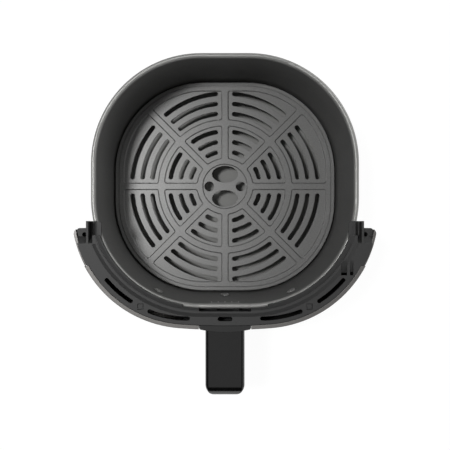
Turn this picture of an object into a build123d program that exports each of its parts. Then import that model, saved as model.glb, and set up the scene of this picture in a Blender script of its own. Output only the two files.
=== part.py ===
from build123d import *
import os
from math import asin, atan2, copysign, cos, degrees, radians, sin, sqrt, tan

# Drawer of a basket air fryer: coated pan, crisper plate, front housing and handle.
# Millimetres. The origin is the centre of the pan's underside, +Z is up and the handle points along -Y.

# Pan, drawn from sheet steel, with a flanged rim whose edge is turned down
pan_corner_x = 21.0
pan_corner_y = 15.5
rim_radius = 96.0
rim_width = 4.2
rim_skirt = 4.0
rim_round = 1.9
mouth_round = 1.9
pan_height = 104.5
pan_wall = 1.2
pan_draft = 0.8
pan_floor_round = 12.0

# Crisper plate, a coated casting that stands on four legs with silicone feet
plate_top = 23.5
plate_gap = 2.0
plate_thickness = 2.6
plate_edge_band = 3.6
plate_edge_drop = 0.8
plate_edge_round = 0.6
plate_border = 8.3
plate_flange = 2.0
plate_flange_depth = 3.0
panel_recess = 0.8
panel_slope = 0.9
panel_round = 2.5
spoke_count = 8
spoke_width = 5.4
slot_width = 4.4
slot_tip_gap = 7.0
ring_pitch_share = 0.096
finger_hole_length = 25.9
finger_hole_width = 16.7
finger_hole_offset = 12.2
round_hole_diameter = 9.7
round_hole_offset = 15.7
leg_circle = 84.0
leg_count = 4
leg_diameter = 8.0
foot_diameter = 13.0
foot_height = 7.0
foot_sole = 2.0
foot_fit = 0.1
foot_round = 1.5
rest_gap = 0.2

# Radii of the plate's pattern, counted in the pitch between neighbouring slots
hub_ring = 2.26
inner_panel_rings = (2.74, 6.1)
outer_panel_ring = 6.63
slot_rings = (3.5, 4.5, 5.5, 7.3, 8.3, 9.3)

# Front housing, a moulded frame that closes a moulded cover round the front of the pan
wing_overhang = 16.6
front_depth = 18.1
housing_corner = 101.4
front_crown_radius = 520.0
wing_end = 41.3
housing_bottom = 6.0
housing_round = 6.0
deck_rise = 2.5
deck_thickness = 2.4
cover_wall = 2.4
land_width = 3.4
land_thickness = 2.2
land_start = 74.3
frame_wall = 2.2
frame_fit = 0.3
frame_skirt = 17.0
rim_fit = 0.4
wing_reveal = 1.6
wing_corner = 5.0

# Lip over the rim and the ridge beside it
lip_overlap = 2.8
lip_near_notch = 1.0
lip_width = 3.8
lip_height = 1.4
lip_slope = 0.8
lip_crest = 0.6
groove_rise = 0.5
ridge_gap = 0.6
ridge_width = 5.1
ridge_height = 1.1
ridge_crest = 1.9
lip_step_half = 37.0
lip_end = 55.2

# Notch in the lip above the bracket's two hooks
notch_half = 22.5
notch_depth = 2.0
notch_drop = 15.0
notch_wall = 2.2

# Slots in the deck, each by the angles of its ends and its inset, and windows for the snap hooks
deck_slot_width = 3.6
outer_deck_slot = (40.2, 57.5, 9.3)
inner_deck_slot = (69.0, 90.0, 8.6)
middle_slot_inset = 9.4
middle_slot_length = 12.8
middle_slot_width = 3.7
snap_window = 5.0
snap_inset = 9.3
snap_angle = 63.5
snap_fit = 0.3
snap_drop = 18.0
snap_set_down = 0.4

# Rear posts of the frame, with a tongue over the rim, a runner channel and a screw pocket
post_overlap = 9.8
post_width = 13.3
post_rear = 35.2
post_front = 56.0
post_depth = 20.0
tongue_round = 5.0
tongue_flat = 2.8
tongue_corner = 3.0
channel_depth = 10.0
channel_end = 47.5
channel_ramp = 7.0
channel_wall = 2.0
pocket_depth = 5.0
pocket_rise_start = 48.5
pocket_end = 54.5
pocket_floor = 3.0
boss_offset = 2.4
boss_y = 46.9
boss_diameter = 7.4
front_boss_x = 19.0
front_boss_inset = 11.7
screw_hole = 3.8
keyway_depth = 4.1
keyway_front = 82.3
keyways = ((8.6, 2.9, 65.0), (16.4, 5.2, 69.5))

# Bracket riveted to the pan and screwed to the frame
bracket_thickness = 1.5
bracket_half = 72.0
bracket_drop = 7.0
bracket_bar = 24.0
bracket_leg_half = 14.0
bracket_length = 61.0
bracket_corner = 6.0
bracket_fit = 0.1
hook_inner = 7.0
hook_width = 5.6
hook_gap = 0.25
hook_drop = 2.5
rivet_x = 60.0
rivet_drop = 18.0
low_rivet_drop = 57.0
rivet_head = 9.0
rivet_head_height = 1.4
rivet_head_round = 1.1
rivet_shank = 4.8
rivet_seat = 0.25
rivet_tail = 7.0
rivet_tail_height = 0.9
mount_screw_x = 40.0
mount_screw_drop = 23.0

# Screws
small_screw = 3.5
small_screw_head = 6.4
small_screw_head_height = 2.0
screw_drive = 2.6
screw_drive_depth = 1.2
drive_sides = 6
screw_head_round = 0.6
cover_screw_length = 16.0
thread_fit = 0.05

# Handle, two shells on a base that fills a notch of the cover, backed by a steel plate
handle_base_half = 22.5
handle_base_crown = 2.4
handle_base_drop = 55.0
handle_base_flange = 5.5
handle_base_back = 5.6
handle_base_corner = 2.0
handle_width = 35.0
handle_length = 62.0
handle_drop = 15.0
handle_height = 24.0
handle_upper_height = 14.0
handle_plan_corner = 10.5
handle_end_round = 9.0
handle_side_round = 3.0
handle_scoop = 2.0
handle_scoop_margin = 6.0
handle_wall = 3.0
handle_root_wall = 6.0
handle_fit = 0.1
stiffener_thickness = 1.5
stiffener_half = 37.0
stiffener_height = 30.0
stiffener_corner = 4.0
bolt_spacing = 20.0
bolt_margin = 0.8
bolt_diameter = 5.0
bolt_head = 8.5
bolt_head_height = 4.0
bolt_socket = 4.0
bolt_socket_depth = 2.5
bolt_length = 36.0
bolt_clearance = 0.2
bolt_boss = 8.4
washer_diameter = 10.0
washer_thickness = 1.0
shell_screw_places = (20.0, 48.0)
shell_screw_length = 12.0
shell_post = 7.0

# Values that follow from the sizes above
pan_slope = tan(radians(pan_draft))
rim_half_x = pan_corner_x + rim_radius
rim_half_y = pan_corner_y + rim_radius
mouth_radius = rim_radius - rim_width
shell_radius = mouth_radius + pan_wall
deck_top = pan_height + deck_rise
frame_inset = cover_wall + frame_fit
frame_radius = rim_radius + rim_fit
front_reach = rim_half_y + front_depth
handle_top = deck_top - handle_drop
split_z = handle_top - handle_upper_height
post_inner = rim_half_x - post_overlap
post_outer = post_inner + post_width
boss_x = post_outer + boss_offset
bracket_top = pan_height - bracket_drop
bracket_low = bracket_top - bracket_length
hook_top = pan_height - hook_drop
mount_screw_z = pan_height - mount_screw_drop

# Cuts run this far past the faces that they open
overcut = 1.0
wall_cut = 4 * rim_width
part_span = 4 * front_reach


def wall_radius(rim_level_radius, height):
    """Corner radius of a drafted wall at a height, from its radius at rim level."""
    return rim_level_radius - (pan_height - height) * pan_slope


def pan_outline(radius):
    """Rounded rectangle about the pan's four corner centres."""
    return RectangleRounded(2 * (pan_corner_x + radius), 2 * (pan_corner_y + radius), radius)


def block(face, low, high):
    """Straight upright block on a plan face."""
    return Pos(0, 0, low) * extrude(face, high - low, dir=(0, 0, 1))


def cup(rim_level_radius, low, high):
    """Drafted block with the pan's plan."""
    ends = [Pos(0, 0, z) * pan_outline(wall_radius(rim_level_radius, z)) for z in (low, high)]
    return loft(ends, ruled=True)


def bottom_edges(solid):
    return solid.edges().group_by(Axis.Z)[0]


def top_edges(solid):
    return solid.edges().group_by(Axis.Z)[-1]


def upright(diameter, x, y, low, high):
    """Upright round bar."""
    return Pos(x, y, (low + high) / 2) * Cylinder(diameter / 2, high - low)


def bar(low, high):
    """Box between two corners."""
    size = [b - a for a, b in zip(low, high)]
    middle = [(a + b) / 2 for a, b in zip(low, high)]
    return Pos(*middle) * Box(*size)


def both_sides(solid):
    """A solid and its mirror image on the other side of the drawer."""
    return solid + mirror(solid, about=Plane.YZ)


def front_spot(x, height, radius):
    """Plane on the front of the pan at a corner radius, with its z axis pointing outwards."""
    lean = asin(max(abs(x) - pan_corner_x, 0) / mouth_radius)
    normal = Vector(copysign(sin(lean), x), -cos(lean), 0)
    foot = Vector(copysign(min(abs(x), pan_corner_x), x), -pan_corner_y, height)
    return Plane(foot + normal * radius, x_dir=(0, 0, 1), z_dir=normal)


def housing_centre():
    """Centre of the housing's right front corner arc, the same for every inset."""
    across = rim_half_x + wing_overhang - housing_corner
    reach = sqrt((front_crown_radius - housing_corner) ** 2 - across**2)
    return across, front_crown_radius - front_reach - reach


def front_outline(inset):
    """Plan of the housing's front, moved in by an inset, and closed straight across the pan."""
    across, along = housing_centre()
    corner = housing_corner - inset
    crown = front_crown_radius - inset
    crown_y = front_crown_radius - front_reach
    slope = atan2(along - crown_y, across)
    joint = (crown * cos(slope), crown_y + crown * sin(slope))
    middle = (across + corner * cos(slope / 2), along + corner * sin(slope / 2))
    side = (across + corner, along)
    back = (across + corner, 0)
    front = ThreePointArc((-joint[0], joint[1]), (0, crown_y - crown), joint)
    right = ThreePointArc(joint, middle, side)
    left = ThreePointArc((-joint[0], joint[1]), (-middle[0], middle[1]), (-side[0], side[1]))
    rear = Polyline(side, back, (-back[0], back[1]), (-side[0], side[1]))
    return make_face(front + right + rear + left)


def ahead(distance):
    """Everything further to the front than a distance from the pan's centre."""
    return bar((-part_span, -part_span, -part_span), (part_span, -distance, part_span))


def rear_rounded(solid, radius):
    """A solid with its two outermost upright edges at the rear rounded off."""
    ends = solid.edges().filter_by(Axis.Z).group_by(Axis.Y)[-1].sort_by(Axis.X)
    return fillet([ends[0], ends[-1]], radius)


def housing_block(inset):
    """Housing with rounded lower edges, moved in by an inset on its sides and bottom."""
    solid = block(front_outline(inset), housing_bottom + inset, deck_top)
    return fillet(bottom_edges(solid), housing_round - inset)


def screw(diameter, head, head_height, length, drive, drive_depth):
    """Round-headed screw along -Z with its head above the origin plane."""
    body = Pos(0, 0, head_height / 2) * Cylinder(head / 2, head_height)
    body = fillet(top_edges(body), screw_head_round)
    body += Pos(0, 0, -length / 2) * Cylinder(diameter / 2, length)
    recess = extrude(RegularPolygon(drive / 2, drive_sides), drive_depth)
    return body - Pos(0, 0, head_height - drive_depth) * recess


def small(length):
    sizes = (small_screw, small_screw_head, small_screw_head_height, length)
    return screw(*sizes, screw_drive, screw_drive_depth)


# Places of fasteners, shared by the pieces that they hold together
rivet_places = [(side * rivet_x, pan_height - rivet_drop) for side in (-1, 1)]
rivet_places.append((0, pan_height - low_rivet_drop))
mount_places = [(-mount_screw_x, mount_screw_z), (mount_screw_x, mount_screw_z)]
front_boss_y = front_reach - front_boss_inset
cover_screw_places = [(-boss_x, -boss_y), (-front_boss_x, -front_boss_y)]
cover_screw_places += [(-x, y) for x, y in cover_screw_places]
bolt_z = split_z + bolt_margin + bolt_boss / 2
bolt_places = [-bolt_spacing / 2, bolt_spacing / 2]
stiffener_rear = front_reach - handle_base_back - stiffener_thickness


def sunk(face):
    """Shallow recess in the plate's top, with sloping sides."""
    edge = Pos(0, 0, plate_top) * face
    bottom = Pos(0, 0, plate_top - panel_recess) * offset(face, -panel_slope)
    return loft([bottom, edge], ruled=True)


def bracket_radius(height):
    """Corner radius of the bracket's outer face."""
    return wall_radius(shell_radius + bracket_fit + bracket_thickness, height)


# Pan
rim = block(pan_outline(rim_radius), pan_height - rim_skirt, pan_height)
rim = fillet(top_edges(rim), rim_round)
rim -= block(pan_outline(rim_radius - pan_wall), pan_height - rim_skirt, pan_height - pan_wall)
shell = cup(shell_radius, 0, pan_height)
shell = fillet(bottom_edges(shell), pan_floor_round + pan_wall)
hollow = cup(mouth_radius, pan_wall, pan_height + pan_wall)
hollow = fillet(bottom_edges(hollow), pan_floor_round)
pan = rim + shell - hollow
mouth = pan.faces().sort_by(Axis.Z)[-1].inner_wires()[0]
pan = fillet(mouth.edges(), mouth_round)
for x, z in rivet_places:
    hole = Cylinder(rivet_shank / 2 + thread_fit, wall_cut)
    pan -= front_spot(x, z, wall_radius(mouth_radius, z)) * hole

# Rivets through the pan's front wall
rivets = []
for x, z in rivet_places:
    inside = wall_radius(mouth_radius, z) - rivet_seat
    outside = bracket_radius(z) + rivet_seat
    head = Pos(0, 0, -rivet_head_height / 2) * Cylinder(rivet_head / 2, rivet_head_height)
    head = fillet(bottom_edges(head), rivet_head_round)
    shank = Pos(0, 0, (outside - inside) / 2) * Cylinder(rivet_shank / 2, outside - inside)
    tail_middle = outside - inside + rivet_tail_height / 2
    tail = Pos(0, 0, tail_middle) * Cylinder(rivet_tail / 2, rivet_tail_height)
    rivets.append(front_spot(x, z, inside) * (head + shank + tail))

# Bracket, bent round the front of the pan, with two hooks that show in the frame's notch
plate_shape = Pos(0, bracket_top - bracket_bar / 2) * Rectangle(2 * bracket_half, bracket_bar)
leg_height = bracket_top - bracket_low
plate_shape += Pos(0, bracket_low + leg_height / 2) * Rectangle(2 * bracket_leg_half, leg_height)
plate_shape = fillet(plate_shape.vertices(), bracket_corner)
bracket = cup(shell_radius + bracket_fit + bracket_thickness, 0, pan_height)
bracket -= cup(shell_radius + bracket_fit, 0, pan_height)
bracket &= extrude(Plane.XZ * plate_shape, part_span)
hook_face = rim_half_y + hook_gap
hook_foot = pan_corner_y + wall_radius(shell_radius + bracket_fit, bracket_top)
hook_low = bracket_top - 2 * bracket_thickness
hook_end = hook_face + bracket_thickness
hook = bar((hook_inner, -hook_end, hook_low), (hook_inner + hook_width, -hook_face, hook_top))
hook += bar(
    (hook_inner, -hook_end, hook_low),
    (hook_inner + hook_width, -hook_foot - bracket_thickness / 2, hook_low + bracket_thickness),
)
bracket += both_sides(hook)
for x, z in rivet_places:
    bracket -= front_spot(x, z, rim_radius) * Cylinder(rivet_shank / 2 + thread_fit, wall_cut)
for x, z in mount_places:
    bracket -= front_spot(x, z, rim_radius) * Cylinder(small_screw / 2 + thread_fit, wall_cut)

# Screws that hold the frame to the bracket
mount_reach = frame_radius + frame_wall - bracket_radius(mount_screw_z) + bracket_thickness / 2
mount_screws = [front_spot(x, z, frame_radius + frame_wall) * small(mount_reach) for x, z in mount_places]

# Front frame: deck, inner wall, skirt and end walls as one hollow moulding, open at the bottom
frame_block = rear_rounded(housing_block(frame_inset) & ahead(wing_end), wing_corner - frame_inset)
frame = frame_block - block(pan_outline(frame_radius), 0, part_span)
core = block(front_outline(frame_inset + frame_wall), 0, deck_top - deck_thickness)
core += block(front_outline(0), 0, deck_top - frame_skirt)
core = (core & ahead(wing_end + frame_wall)) - block(pan_outline(frame_radius + frame_wall), 0, part_span)
frame -= core

# Lip over the rim, with a sloping top, and the ridge that runs down to the deck
lip_inner = rim_radius - lip_overlap
lip_outer = lip_inner + lip_width
ridge_inner = lip_outer + ridge_gap
ridge_outer = ridge_inner + ridge_width
lip_low = pan_height + frame_fit
lip_mid = deck_top + lip_height - lip_slope
lip = block(pan_outline(ridge_inner), lip_low, deck_top + groove_rise)
lip += loft(
    [
        Pos(0, 0, deck_top) * pan_outline(lip_outer),
        Pos(0, 0, lip_mid) * pan_outline(lip_outer),
    ],
    ruled=True,
)
lip += loft(
    [
        Pos(0, 0, lip_mid) * pan_outline(lip_outer),
        Pos(0, 0, deck_top + lip_height) * pan_outline(lip_inner + lip_crest),
    ],
    ruled=True,
)
lip -= block(pan_outline(lip_inner), 0, part_span)
ridge = loft(
    [
        Pos(0, 0, deck_top) * pan_outline(ridge_outer),
        Pos(0, 0, deck_top + ridge_height) * pan_outline(ridge_inner + ridge_crest),
    ],
    ruled=True,
)
ridge -= block(pan_outline(ridge_inner), 0, part_span)
frame += (lip & ahead(channel_end)) + (ridge & ahead(lip_end))
short_lip = block(pan_outline(rim_radius - lip_near_notch), pan_height, part_span)
short_lip &= bar((-lip_step_half, -part_span, 0), (lip_step_half, -pan_corner_y, part_span))
frame -= short_lip

# Notch above the bracket's hooks, with its own small wall
notch_face = rim_half_y + notch_depth
notch_back = notch_face + notch_wall
notch_low = deck_top - notch_drop
frame += bar(
    (-notch_half - notch_wall, -notch_back, notch_low - notch_wall),
    (notch_half + notch_wall, -pan_corner_y - frame_radius, deck_top),
)
frame -= bar((-notch_half, -notch_face, notch_low), (notch_half, 0, part_span))

# Pads and holes for the screws into the bracket
for x, z in mount_places:
    pad_length = frame_radius + frame_wall / 2 - bracket_radius(z) - bracket_fit
    pad = Pos(0, 0, -pad_length / 2) * Cylinder(small_screw_head / 2 + bracket_fit, pad_length)
    frame += front_spot(x, z, frame_radius + frame_wall / 2) * pad
    hole = Cylinder(small_screw / 2 + frame_fit, wall_cut)
    frame -= front_spot(x, z, frame_radius) * hole

# Bosses for the screws that come up through the cover
boss_low = housing_bottom + frame_inset
for x, y in cover_screw_places:
    boss = upright(boss_diameter, x, y, boss_low, deck_top - deck_thickness / 2)
    frame += boss & housing_block(frame_inset)

# Rear post and screw pocket on one wing, then their mirror image
wing_zone = bar((post_outer, -post_front, 0), (part_span, -wing_end, part_span))
wing_floor = deck_top - pocket_depth - pocket_floor
wing = frame_block & wing_zone
wing &= bar((0, -part_span, wing_floor), (part_span, 0, part_span))
post = bar((post_inner, -post_front, deck_top - post_depth), (post_outer, -post_rear, deck_top))
tongue_edge = post.edges().filter_by(Axis.Z).sort_by(Axis.Y)[-2:].sort_by(Axis.X)[0]
post = fillet(tongue_edge, tongue_corner)
post -= block(pan_outline(frame_radius), 0, lip_low)
tongue_end = post_inner + tongue_flat + tongue_round
channel_side = post_outer - channel_wall
channel_low = deck_top - channel_depth
channel = make_face(
    RadiusArc(
        (post_inner + tongue_flat, deck_top),
        (tongue_end, deck_top - tongue_round),
        tongue_round,
    )
    + Polyline(
        (tongue_end, deck_top - tongue_round),
        (tongue_end, channel_low),
        (channel_side, channel_low),
        (channel_side, deck_top + deck_rise),
        (post_inner + tongue_flat, deck_top + deck_rise),
        (post_inner + tongue_flat, deck_top),
    )
)
channel = (Pos(0, overcut - post_rear, 0) * (Plane.XZ * channel)).faces()[0]
channel = extrude(channel, channel_end - post_rear + overcut, dir=(0, -1, 0))
ramp = make_face(
    Polyline(
        (-channel_end, channel_low),
        (-channel_end, deck_top + deck_rise),
        (-channel_end - channel_ramp, deck_top + deck_rise),
        (-channel_end - channel_ramp, deck_top),
        (-channel_end, channel_low),
    )
)
ramp = (Pos(tongue_end, 0, 0) * (Plane.YZ * ramp)).faces()[0]
ramp = extrude(ramp, channel_side - tongue_end, dir=(1, 0, 0))
pocket = make_face(
    Polyline(
        (overcut - wing_end, deck_top + deck_rise),
        (overcut - wing_end, deck_top - pocket_depth),
        (-pocket_rise_start, deck_top - pocket_depth),
        (-pocket_end, deck_top),
        (-pocket_end, deck_top + deck_rise),
        (overcut - wing_end, deck_top + deck_rise),
    )
)
pocket = (Pos(post_outer, 0, 0) * (Plane.YZ * pocket)).faces()[0]
pocket = extrude(pocket, part_span, dir=(1, 0, 0))
wing_cap_low = deck_top - land_thickness
cap = block(front_outline(wing_reveal) - front_outline(land_width), wing_cap_low, deck_top)
cap &= bar((0, -land_start + frame_fit, 0), (part_span, -pocket_end, part_span))
frame += both_sides(post + wing + cap)
frame -= both_sides(channel + ramp + pocket)

# Room for the cover's top edge, and the deck's slots, holes and keyways
edge_room = block(front_outline(-land_width), wing_cap_low - frame_fit, part_span)
edge_room -= block(front_outline(land_width + frame_fit), 0, part_span)
frame -= edge_room & ahead(land_start)
across, along = housing_centre()
deck_slots = Sketch()
for start, end, inset in (outer_deck_slot, inner_deck_slot):
    path = CenterArc((across, along), housing_corner - inset, -end, end - start)
    deck_slots += SlotArc(path, deck_slot_width)
deck_slots += mirror(deck_slots, about=Plane.YZ)
middle_slot = SlotOverall(middle_slot_length, middle_slot_width)
deck_slots += Pos(0, middle_slot_inset - front_reach) * middle_slot
frame -= block(deck_slots, deck_top - deck_thickness - overcut, part_span)
snap_x = across + (housing_corner - snap_inset) * cos(radians(snap_angle))
snap_y = along - (housing_corner - snap_inset) * sin(radians(snap_angle))
window = bar(
    (snap_x - snap_window / 2, snap_y - snap_window / 2, deck_top - 2 * deck_thickness),
    (snap_x + snap_window / 2, snap_y + snap_window / 2, part_span),
)
frame -= both_sides(window)
for x, y in cover_screw_places:
    reach = part_span if abs(x) == boss_x else boss_low + 2 * cover_screw_length
    frame -= upright(screw_hole, x, y, 0, reach)
for inset, width, start in keyways:
    wedge = make_face(
        Polyline(
            (-start, deck_top + ridge_height),
            (-keyway_front, deck_top + ridge_height),
            (-keyway_front, deck_top + ridge_height - keyway_depth),
            (-start, deck_top + ridge_height),
        )
    )
    wedge = (Pos(rim_half_x - inset, 0, 0) * (Plane.YZ * wedge)).faces()[0]
    frame -= extrude(wedge, width, dir=(1, 0, 0))

# Front cover: outer wall and floor of the housing, with a flat top edge and snap hooks
cover = rear_rounded(housing_block(0) & ahead(wing_end), wing_corner) - housing_block(cover_wall)
cover -= block(front_outline(cover_wall), deck_top - housing_round, part_span)
cover -= block(pan_outline(frame_radius), 0, part_span)
land = block(front_outline(0) - front_outline(land_width), wing_cap_low, deck_top)
cover += land & ahead(land_start)
wing_top = bar((-part_span, -land_start, wing_cap_low - frame_fit), (part_span, 0, part_span))
cover -= wing_top
snap_half = snap_window / 2 - snap_fit
snap_low = deck_top - snap_drop
arm_top = deck_top - deck_thickness - snap_fit
arm = bar((snap_x - snap_half, -front_reach, snap_low), (snap_x + snap_half, snap_y + snap_half, arm_top))
arm += bar(
    (snap_x - snap_half, snap_y - snap_half, snap_low),
    (snap_x + snap_half, snap_y + snap_half, deck_top - snap_set_down),
)
arm &= block(front_outline(cover_wall / 2), 0, deck_top)
cover += both_sides(arm)
arm_room = bar(
    (snap_x - snap_half - snap_fit, -part_span, snap_low - snap_fit),
    (snap_x + snap_half + snap_fit, snap_y, arm_top + snap_fit),
)
frame -= both_sides(arm_room)
for x, y in cover_screw_places:
    cover -= upright(screw_hole, x, y, 0, boss_low)

# Screws up through the cover's floor
cover_screws = []
for x, y in cover_screw_places:
    cover_screws.append(Pos(x, y, housing_bottom) * (Rot(180, 0, 0) * small(cover_screw_length)))

# Handle base, with a bowed front, which fills the cover's notch and backs it with flanges
base_low = deck_top - handle_base_drop
base_rear = front_reach - handle_base_back
side_reach = front_crown_radius - front_reach
side_front = sqrt(front_crown_radius**2 - handle_base_half**2) - side_reach
bow = ThreePointArc(
    (-handle_base_half, -side_front),
    (0, -side_front - handle_base_crown),
    (handle_base_half, -side_front),
)
bow_back = Polyline((handle_base_half, -side_front), (handle_base_half, 0), (-handle_base_half, 0))
bow_back += Line((-handle_base_half, 0), (-handle_base_half, -side_front))
bow_face = make_face(bow + bow_back)
base_plan = fillet(bow_face.vertices().group_by(Axis.Y)[0], handle_base_corner)
skirt_low = deck_top - frame_skirt
handle_base = block(base_plan - front_outline(cover_wall), base_low, deck_top)
handle_base += block(base_plan - front_outline(land_width), wing_cap_low, deck_top)
flange_half = handle_base_half + handle_base_flange
base_back = block(front_outline(frame_inset), base_low, skirt_low - frame_fit)
base_back &= bar((-flange_half, -part_span, 0), (flange_half, -base_rear, part_span))
base_core = block(base_plan, base_low, skirt_low - frame_fit)
handle_base += base_back + (base_core & ahead(base_rear))
notch_room = bar(
    (-handle_base_half - frame_fit, -part_span, base_low - frame_fit),
    (handle_base_half + frame_fit, -rim_half_y, part_span),
)
cover -= notch_room
bolt_hole = Rot(90, 0, 0) * Cylinder(bolt_diameter / 2 + bolt_clearance, part_span)
for x in bolt_places:
    handle_base -= Pos(x, 0, bolt_z) * bolt_hole

# Steel plate behind the handle base
stiffener_low = skirt_low - frame_fit - stiffener_height
stiffener_face = RectangleRounded(2 * stiffener_half, stiffener_height, stiffener_corner)
stiffener_face = Plane.XZ * (Pos(0, stiffener_low + stiffener_height / 2) * stiffener_face)
stiffener = Pos(0, -stiffener_rear, 0) * extrude(stiffener_face, stiffener_thickness)
for x in bolt_places:
    stiffener -= Pos(x, 0, bolt_z) * bolt_hole

# Bolts and washers, put in from behind the plate
bolts = []
washers = []
bolt_seat = stiffener_rear - washer_thickness
for x in bolt_places:
    sizes = (bolt_diameter, bolt_head, bolt_head_height, bolt_length)
    bolt = screw(*sizes, bolt_socket, bolt_socket_depth)
    bolts.append(Pos(x, -bolt_seat, bolt_z) * (Rot(-90, 0, 0) * bolt))
    washer = Cylinder(washer_diameter / 2, washer_thickness)
    washer -= Cylinder(bolt_diameter / 2 + bolt_clearance, washer_thickness)
    washers.append(Pos(x, -bolt_seat - washer_thickness / 2, bolt_z) * (Rot(90, 0, 0) * washer))

# Handle, shaped from its side and its plan, with a scoop for the fingers below
handle_low = handle_top - handle_height
handle_end = front_reach + handle_length
side_view = make_face(
    Polyline(
        (-handle_end, handle_low),
        (-handle_end, handle_top),
        (-front_reach + handle_base_back, handle_top),
        (-front_reach + handle_base_back, handle_low),
        (-handle_end, handle_low),
    )
)
side_view = fillet(side_view.vertices().group_by(Axis.X)[0], handle_end_round)
scoop_start = -handle_end + handle_end_round + handle_scoop_margin
scoop_end = -front_reach - handle_base_crown - handle_scoop_margin
scoop = ThreePointArc(
    (scoop_start, handle_low),
    ((scoop_start + scoop_end) / 2, handle_low + handle_scoop),
    (scoop_end, handle_low),
)
side_view -= make_face(scoop + Line((scoop_end, handle_low), (scoop_start, handle_low)))
plan_length = handle_end - front_reach + handle_base_back
plan_view = Pos(0, -handle_end + plan_length / 2) * Rectangle(handle_width, plan_length)
plan_view = fillet(plan_view.vertices().group_by(Axis.Y)[0], handle_plan_corner)
handle = block(plan_view, handle_low, handle_top)
handle = fillet(bottom_edges(handle) + top_edges(handle), handle_side_round)
handle &= extrude(Plane.YZ * side_view, handle_width, both=True)
handle -= block(offset(base_plan, handle_fit), 0, part_span)
room_end = handle_end - handle_wall - handle_end_round / 2
room_start = front_reach + handle_base_crown + handle_root_wall
room = bar(
    (-handle_width / 2 + handle_wall, -room_end, handle_low + handle_wall + handle_scoop),
    (handle_width / 2 - handle_wall, -room_start, handle_top - handle_wall),
)
handle_upper = (handle - room) & bar((-part_span, -part_span, split_z), (part_span, 0, part_span))
handle_lower = (handle - room) & bar((-part_span, -part_span, 0), (part_span, 0, split_z - handle_fit))
bolt_end = bolt_seat + bolt_length
for x in bolt_places:
    tube = (Pos(x, overcut - room_start, bolt_z) * (Plane.XZ * Circle(bolt_boss / 2))).faces()[0]
    handle_upper += extrude(tube, bolt_end - room_start + handle_wall, dir=(0, -1, 0))
    thread = Plane.XZ * Circle(bolt_diameter / 2 + thread_fit)
    thread = (Pos(x, -bolt_seat, bolt_z) * thread).faces()[0]
    handle_upper -= extrude(thread, bolt_length + thread_fit, dir=(0, -1, 0))
shell_screws = []
for distance in shell_screw_places:
    y = -front_reach - distance
    seat = handle_low + handle_scoop + handle_wall
    post_top = handle_top - handle_wall / 2
    handle_upper += upright(shell_post, 0, y, split_z, post_top)
    handle_upper -= upright(small_screw + 2 * thread_fit, 0, y, 0, seat + shell_screw_length + thread_fit)
    handle_lower += upright(shell_post, 0, y, seat - handle_wall / 2, split_z - handle_fit)
    handle_lower -= upright(small_screw + 2 * bolt_clearance, 0, y, 0, split_z)
    handle_lower -= upright(small_screw_head + 2 * bolt_clearance, 0, y, 0, seat)
    shell_screws.append(Pos(0, y, seat) * (Rot(180, 0, 0) * small(shell_screw_length)))

# Crisper plate: recessed panels between spokes, each with three curved slots
plate_radius = wall_radius(mouth_radius, plate_top) - plate_gap
plate_low = plate_top - plate_thickness
ring_pitch = ring_pitch_share * (pan_corner_y + plate_radius)
plate = block(pan_outline(plate_radius), plate_low, plate_top - plate_edge_drop)
plate = fillet(top_edges(plate), plate_edge_round)
raised = block(pan_outline(plate_radius - plate_edge_band), plate_low, plate_top)
plate += fillet(top_edges(raised), plate_edge_round)
flange = pan_outline(plate_radius) - pan_outline(plate_radius - plate_flange)
plate += block(flange, plate_low - plate_flange_depth, plate_low)
spokes = Sketch()
for turn in range(spoke_count // 2):
    spokes += Rot(0, 0, turn * 360 / spoke_count) * Rectangle(part_span, spoke_width)
inner_start, inner_end = (ring * ring_pitch for ring in inner_panel_rings)
inner_panels = Circle(inner_end) - Circle(inner_start) - spokes
outer_panels = pan_outline(plate_radius - plate_border) - Circle(outer_panel_ring * ring_pitch) - spokes
for panel in inner_panels.faces() + outer_panels.faces():
    rounded = offset(offset(panel, -panel_round, kind=Kind.INTERSECTION), panel_round)
    plate -= sunk(rounded)
plate -= sunk(Circle(hub_ring * ring_pitch))
sector = 360 / spoke_count
openings = Sketch()
for ring in slot_rings:
    radius = ring * ring_pitch
    clear = degrees(asin((slot_tip_gap + slot_width / 2) / radius))
    for turn in range(spoke_count):
        path = CenterArc((0, 0), radius, turn * sector + clear, sector - 2 * clear)
        openings += SlotArc(path, slot_width)
for side in (-1, 1):
    finger_hole = Ellipse(finger_hole_length / 2, finger_hole_width / 2)
    openings += Pos(0, side * finger_hole_offset) * finger_hole
    openings += Pos(side * round_hole_offset, 0) * Circle(round_hole_diameter / 2)
plate -= block(openings, 0, part_span)

# Legs under the plate, and a silicone foot on each
feet = []
foot_low = pan_wall + rest_gap
leg_low = foot_low + foot_sole
for turn in range(leg_count):
    angle = radians(360 / leg_count) * (turn + 0.5)
    x = leg_circle * cos(angle)
    y = leg_circle * sin(angle)
    plate += upright(leg_diameter, x, y, leg_low, plate_low)
    foot = upright(foot_diameter, x, y, foot_low, foot_low + foot_height)
    foot = fillet(bottom_edges(foot) + top_edges(foot), foot_round)
    feet.append(foot - upright(leg_diameter + 2 * foot_fit, x, y, leg_low, part_span))

# One file for each node
nodes = {
    "pan": pan,
    "bracket_rivets": Compound(children=rivets),
    "pan_bracket": bracket,
    "bracket_screws": Compound(children=mount_screws),
    "front_frame": frame,
    "front_cover": cover,
    "cover_screws": Compound(children=cover_screws),
    "handle_base": handle_base,
    "handle_stiffener": stiffener,
    "handle_bolts": Compound(children=bolts),
    "bolt_washers": Compound(children=washers),
    "handle_upper": handle_upper,
    "handle_lower": handle_lower,
    "handle_screws": Compound(children=shell_screws),
    "crisper_plate": plate,
}
for number, foot in enumerate(feet, 1):
    nodes[f"plate_foot_{number}"] = foot
os.makedirs("parts", exist_ok=True)
for name, shape in nodes.items():
    export_step(shape, f"parts/{name}.step")
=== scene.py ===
from math import pi

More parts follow.
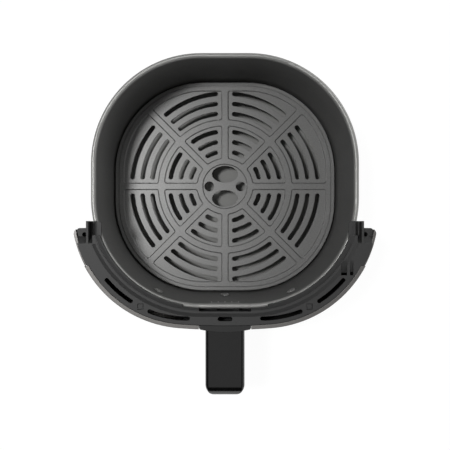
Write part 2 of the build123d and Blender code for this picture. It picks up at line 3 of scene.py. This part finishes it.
import bpy
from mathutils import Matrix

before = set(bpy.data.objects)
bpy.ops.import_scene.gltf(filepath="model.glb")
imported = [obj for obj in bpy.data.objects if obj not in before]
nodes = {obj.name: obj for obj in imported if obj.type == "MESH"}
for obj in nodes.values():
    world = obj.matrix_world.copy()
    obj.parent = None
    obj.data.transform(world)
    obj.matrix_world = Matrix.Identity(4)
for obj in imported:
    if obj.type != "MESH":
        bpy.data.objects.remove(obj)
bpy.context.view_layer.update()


# Pan: a deep tub drawn from sheet steel, with its rim turned out and down. It is sprayed
# with a grey non-stick coating and cured, so it is satin all over, with a fine fleck. Its
# floor is painted paler, which is painted light, and its rim paler still, a painted highlight.
mm = 0.001
rim_top = max(vertex.co.z for vertex in nodes["pan"].data.vertices)


def linear(code):
    """An sRGB hex colour as linear red, green, blue and alpha."""
    parts = [int(code[at:at + 2], 16) / 255 for at in (1, 3, 5)]
    return [p / 12.92 if p <= 0.04045 else ((p + 0.055) / 1.055) ** 2.4 for p in parts] + [1]


def add(tree, kind, values=None, links=None, **settings):
    """A node with its settings, its socket values and its links from other sockets."""
    made = tree.nodes.new(kind)
    for name, value in settings.items():
        setattr(made, name, value)
    for name, value in (values or {}).items():
        made.inputs[name].default_value = value
    for name, source in (links or {}).items():
        tree.links.new(source, made.inputs[name])
    return made


def finish(name, grain_size, colours, roughness, relief, patch_size=None, edge_round=0.35 * mm):
    """A material whose grain tints it, dulls it and raises its skin, with its tree and shader.

    Its edges shade as if rounded. Where there is a patch size, gloss varies with it, not with the grain.
    """
    material = bpy.data.materials.new(name)
    material.use_nodes = True
    tree = material.node_tree
    shader = tree.nodes["Principled BSDF"]
    place = add(tree, "ShaderNodeTexCoord").outputs["Object"]
    grain = add(tree, "ShaderNodeTexNoise", {"Scale": 1 / grain_size, "Detail": 3}, {"Vector": place})
    tint = add(tree, "ShaderNodeValToRGB", links={"Fac": grain.outputs["Fac"]})
    grain_ends = (0.3, 0.75)
    for element, at, colour in zip(tint.color_ramp.elements, grain_ends, colours):
        element.position = at
        element.color = linear(colour)
    tree.links.new(tint.outputs["Color"], shader.inputs["Base Color"])
    patch = grain
    if patch_size:
        patch = add(tree, "ShaderNodeTexNoise", {"Scale": 1 / patch_size}, {"Vector": place})
    dull = add(tree, "ShaderNodeMapRange", {"To Min": roughness[0], "To Max": roughness[1]},
               {"Value": patch.outputs["Fac"]})
    tree.links.new(dull.outputs["Result"], shader.inputs["Roughness"])
    edge = add(tree, "ShaderNodeBevel", {"Radius": edge_round}, samples=6)
    skin = add(tree, "ShaderNodeBump", {"Strength": 0.1, "Distance": relief},
               {"Height": grain.outputs["Fac"], "Normal": edge.outputs["Normal"]})
    tree.links.new(skin.outputs["Normal"], shader.inputs["Normal"])
    return material, tree, shader


def dress(material, *names):
    """Give CAD nodes a material in place of their plain one."""
    for name in names:
        nodes[name].data.materials.clear()
        nodes[name].data.materials.append(material)


# The real fleck is finer than a pixel, so it is drawn at 1.2 mm, which shows.
pan_coat, tree, shader = finish("nonstick_coating_on_steel", grain_size=1.2 * mm,
                                colours=("#585857", "#636362"), roughness=(0.52, 0.58), relief=0.16 * mm,
                                patch_size=45 * mm)
shader.inputs["IOR"].default_value = 1.3
place = add(tree, "ShaderNodeTexCoord").outputs["Object"]
along = add(tree, "ShaderNodeSeparateXYZ", links={"Vector": place}).outputs
colour = shader.inputs["Base Color"].links[0].from_socket

# A colour Mix node takes its two colours at sockets 6 and 7 and gives the result at output 2.
under, over, mixed = 6, 7, 2
# The pan's floor is painted paler, fully below 3 mm and fading out by 8 mm: painted light, standing in for
# the lamp's light that falls onto it through the plate's holes.
wall_foot = 8 * mm
floor_edge = 3 * mm
floor_light_mask = add(tree, "ShaderNodeMapRange", {"From Min": wall_foot, "From Max": floor_edge}, {"Value": along["Z"]})
colour = add(tree, "ShaderNodeMix", {over: linear("#868684")}, {0: floor_light_mask.outputs[0], under: colour},
             data_type="RGBA").outputs[mixed]

# A fill line with ticks below it is printed on the pan's front wall, in pale grey.
line_height = rim_top - 8.5 * mm
line_half = 0.8 * mm
tick_height = rim_top - 12.5 * mm
tick_half = 4 * mm
tick_spacing = 6 * mm
tick_width = 1 * mm
marks_half = 12.5 * mm
front_side = -90 * mm
line = add(tree, "ShaderNodeMath", {1: line_height, 2: line_half}, {0: along["Z"]}, operation="COMPARE")
pitch = add(tree, "ShaderNodeMath", {1: tick_spacing / 2}, {0: along["X"]}, operation="PINGPONG")
thin = add(tree, "ShaderNodeMath", {1: tick_width / 2}, {0: pitch.outputs[0]}, operation="LESS_THAN")
tall = add(tree, "ShaderNodeMath", {1: tick_height, 2: tick_half}, {0: along["Z"]}, operation="COMPARE")
ticks = add(tree, "ShaderNodeMath", links={0: thin.outputs[0], 1: tall.outputs[0]}, operation="MULTIPLY")
marks = add(tree, "ShaderNodeMath", links={0: line.outputs[0], 1: ticks.outputs[0]}, operation="MAXIMUM")
width = add(tree, "ShaderNodeMath", {1: 0, 2: marks_half}, {0: along["X"]}, operation="COMPARE")
front = add(tree, "ShaderNodeMath", {1: front_side}, {0: along["Y"]}, operation="LESS_THAN")
patch = add(tree, "ShaderNodeMath", links={0: width.outputs[0], 1: front.outputs[0]}, operation="MULTIPLY")
ink = add(tree, "ShaderNodeMath", links={0: marks.outputs[0], 1: patch.outputs[0]}, operation="MULTIPLY")
colour = add(tree, "ShaderNodeMix", {over: linear("#9a9a98")}, {0: ink.outputs[0], under: colour},
             data_type="RGBA").outputs[mixed]

# The turned rim is painted paler than the coating, a painted highlight for the light its rolled edge catches.
# It is also made smoother and partly metallic, like bare steel.
rim_foot = rim_top - 4.5 * mm
rim_shoulder = rim_top - 2 * mm
rim_sheen_and_metal = add(tree, "ShaderNodeMapRange", {"From Min": rim_foot, "From Max": rim_shoulder},
          {"Value": along["Z"]}).outputs[0]
colour = add(tree, "ShaderNodeMix", {over: linear("#8f8f8d")}, {0: rim_sheen_and_metal, under: colour},
             data_type="RGBA").outputs[mixed]
tree.links.new(colour, shader.inputs["Base Color"])
rim_metal = 0.4
rim_smoothing = 0.14
bright = add(tree, "ShaderNodeMath", {1: rim_metal}, {0: rim_sheen_and_metal}, operation="MULTIPLY")
tree.links.new(bright.outputs[0], shader.inputs["Metallic"])
satin = shader.inputs["Roughness"].links[0].from_socket
smooth = add(tree, "ShaderNodeMath", {1: -rim_smoothing}, {0: rim_sheen_and_metal, 2: satin}, operation="MULTIPLY_ADD")
tree.links.new(smooth.outputs[0], shader.inputs["Roughness"])
dress(pan_coat, "pan")

# Rivets: domed steel heads that hold the bracket to the pan. They are coated along with
# it, and come out smoother.
rivet_coat = finish("nonstick_coating_on_rivets", grain_size=1.2 * mm, colours=("#5c5c5b", "#686867"),
                    roughness=(0.2, 0.26), relief=0.1 * mm)[0]
dress(rivet_coat, "bracket_rivets")

# Pan bracket: pressed steel behind the front wall, dipped in black paint and baked, so
# it is an even soft black. The screws into the frame are zinc plated.
black_steel = finish("black_dipped_steel", grain_size=2 * mm, colours=("#060606", "#0b0b0b"),
                     roughness=(0.8, 0.9), relief=0.05 * mm)[0]
dress(black_steel, "pan_bracket")

zinc, tree, shader = finish("zinc_plated_steel", grain_size=3 * mm, colours=("#8f8f8b", "#b9b9b4"),
                            roughness=(0.25, 0.45), relief=0.03 * mm)
shader.inputs["Metallic"].default_value = 1
dress(zinc, "bracket_screws")

# Front frame: black heat-resistant plastic, injection moulded in a tool with a fine
# spark-eroded texture, so the surface is dark and evenly matt. It hangs on the bracket.
# The texture is drawn at 0.8 mm, coarser than the real one, so that it shows.
plastic = finish("spark_textured_plastic", grain_size=0.8 * mm, colours=("#222222", "#2c2c2c"),
                 roughness=(0.52, 0.62), relief=0.1 * mm)[0]
dress(plastic, "front_frame")

# Front cover: a moulded shell sprayed with a warm grey metallic paint under a clear coat.
# It snaps and is screwed onto the frame. Its snap hooks stay bare black plastic. The
# paint's flake is drawn at 0.7 mm, coarser than the real one, so that it shows.
hook_place = 73.2 * mm
hook_reach = 7 * mm
hook_front = -112.8 * mm
paint, tree, shader = finish("metallic_paint_on_plastic", grain_size=0.7 * mm, colours=("#5e5c5a", "#6c6a68"),
                             roughness=(0.42, 0.52), relief=0.02 * mm, edge_round=0.9 * mm)
shader.inputs["Metallic"].default_value = 0.6
shader.inputs["Coat Weight"].default_value = 0.7
shader.inputs["Coat Roughness"].default_value = 0.12
dress(paint, "front_cover")
shell = nodes["front_cover"].data
shell.materials.append(plastic)
for face in shell.polygons:
    beside_hook = abs(abs(face.center.x) - hook_place) < hook_reach
    face.material_index = int(beside_hook and face.center.y > hook_front)
dress(zinc, "cover_screws")

# Handle base: textured plastic like the frame's, but dyed a deeper black, bolted to it
# through the cover. The stiffener inside the handle is pressed from black dipped steel.
base_plastic = finish("deep_black_textured_plastic", grain_size=0.8 * mm, colours=("#121212", "#181818"),
                      roughness=(0.6, 0.7), relief=0.1 * mm)[0]
dress(base_plastic, "handle_base")
dress(black_steel, "handle_stiffener", "handle_bolts", "bolt_washers")

# Handle: two moulded shells in black plastic, smoother than the frame, screwed together
# round the stiffener.
grip, tree, shader = finish("polished_black_plastic", grain_size=6 * mm, colours=("#050505", "#090909"),
                            roughness=(0.15, 0.22), relief=0.02 * mm)
shader.inputs["IOR"].default_value = 1.47
dress(grip, "handle_upper", "handle_lower")
dress(zinc, "handle_screws")

# Crisper plate: a cast aluminium plate on four legs, coated like the pan. Its coating is
# drawn paler than the pan's, which is painted light on the plate's upturned face. It holds
# more metal flake, which gives it a broad sheen under the lamp.
plate_coat, tree, shader = finish("nonstick_coating_on_aluminium", grain_size=1.2 * mm,
                                  colours=("#666665", "#747473"), roughness=(0.38, 0.44), relief=0.16 * mm,
                                  patch_size=45 * mm)
shader.inputs["Metallic"].default_value = 0.3
dress(plate_coat, "crisper_plate")

# Feet: black silicone caps pushed over the plate's legs, moulded matt.
silicone, tree, shader = finish("moulded_silicone", grain_size=2 * mm, colours=("#1c1c1c", "#2a2a29"),
                                roughness=(0.65, 0.75), relief=0.05 * mm)
shader.inputs["IOR"].default_value = 1.41
dress(silicone, *[f"plate_foot_{number}" for number in range(1, 5)])

# Studio: a white floor that keeps a soft shadow. To the camera and in reflections it
# glows, so that the picture's ground is white, and to other light it is plain matt white.
floor_size = 14
floor_drop = 0.2 * mm
white = bpy.data.materials.new("white_floor")
white.use_nodes = True
tree = white.node_tree
tree.nodes.remove(tree.nodes["Principled BSDF"])
ray = add(tree, "ShaderNodeLightPath").outputs
mirrored = add(tree, "ShaderNodeMath", links={0: ray["Is Glossy Ray"], 1: ray["Is Transmission Ray"]},
               operation="MAXIMUM")
seen = add(tree, "ShaderNodeMath", links={0: ray["Is Camera Ray"], 1: mirrored.outputs[0]},
           operation="MAXIMUM")
matt = add(tree, "ShaderNodeBsdfDiffuse", {"Color": linear("#eeeeee")})
shade = add(tree, "ShaderNodeBsdfDiffuse", {"Color": linear("#505050")})
glow = add(tree, "ShaderNodeEmission", {"Color": linear("#ffffff"), "Strength": 0.95})
lit = add(tree, "ShaderNodeAddShader", links={0: shade.outputs[0], 1: glow.outputs[0]})
both = add(tree, "ShaderNodeMixShader", links={0: seen.outputs[0], 1: matt.outputs[0], 2: lit.outputs[0]})
tree.links.new(both.outputs[0], tree.nodes["Material Output"].inputs["Surface"])
bpy.ops.mesh.primitive_plane_add(size=floor_size, location=(0, 0, -floor_drop))
floor = bpy.context.object
floor.name = "floor"
floor.data.materials.append(white)

# The room is pale down by the horizon and dark above, where the lamps hang. It is paler
# to the sides than in front and behind.
scene = bpy.context.scene
scene.world = bpy.data.worlds.new("studio")
scene.world.use_nodes = True
tree = scene.world.node_tree
way = add(tree, "ShaderNodeTexCoord").outputs["Generated"]
toward = add(tree, "ShaderNodeSeparateXYZ", links={"Vector": way}).outputs
ends = add(tree, "ShaderNodeMath", links={0: toward["Y"]}, operation="ABSOLUTE")
end_dimming = 0.2
height = add(tree, "ShaderNodeMath", {1: end_dimming}, {0: ends.outputs[0], 2: toward["Z"]},
             operation="MULTIPLY_ADD")
room = add(tree, "ShaderNodeValToRGB", links={"Fac": height.outputs[0]})
steps = room.color_ramp.elements
steps[0].color = linear("#ffffff")
steps[1].position = 0.66
steps[1].color = linear("#272727")
steps.new(0.16).color = linear("#e1e1e1")
steps.new(0.44).color = linear("#595959")
tree.links.new(room.outputs["Color"], tree.nodes["Background"].inputs["Color"])


def softbox(name, place, size, brightness):
    """A square lamp that faces the pan, with a brightness of its own whatever its size."""
    lamp = bpy.data.lights.new(name, "AREA")
    lamp.size = size
    lamp.energy = brightness * pi * size**2
    obj = bpy.data.objects.new(name, lamp)
    obj.location = place
    obj.rotation_mode = "QUATERNION"
    obj.rotation_quaternion = obj.location.to_track_quat("Z", "Y")
    scene.collection.objects.link(obj)


# Lamps: a large softbox overhead, a small bright key at the upper left that throws the
# shadows, two in front that show along the handle and on its end, and two at the right
# that fill.
softbox("overhead", place=(-0.1, 0.05, 1.6), size=1.6, brightness=0.32)
softbox("key", place=(-0.58, 0.15, 1.92), size=0.26, brightness=98)
softbox("front", place=(0, -0.52, 1.6), size=0.5, brightness=0.4)
softbox("back_right", place=(1.1, 1.1, 0.95), size=1.2, brightness=2.6)
softbox("right", place=(1.4, -0.5, 0.5), size=1.2, brightness=1.2)
softbox("low_front", place=(0, -1.6, 0.2), size=0.6, brightness=1.6)

# Camera: straight above, a little in front of the pan's centre.
camera_height = 648.5 * mm
camera_forward = 38.65 * mm
lens = bpy.data.cameras.new("overhead_camera")
lens.lens = 50
lens.sensor_width = 36
camera = bpy.data.objects.new("overhead_camera", lens)
camera.location = (0, -camera_forward, camera_height)
scene.collection.objects.link(camera)
scene.camera = camera
scene.view_settings.view_transform = "Standard"
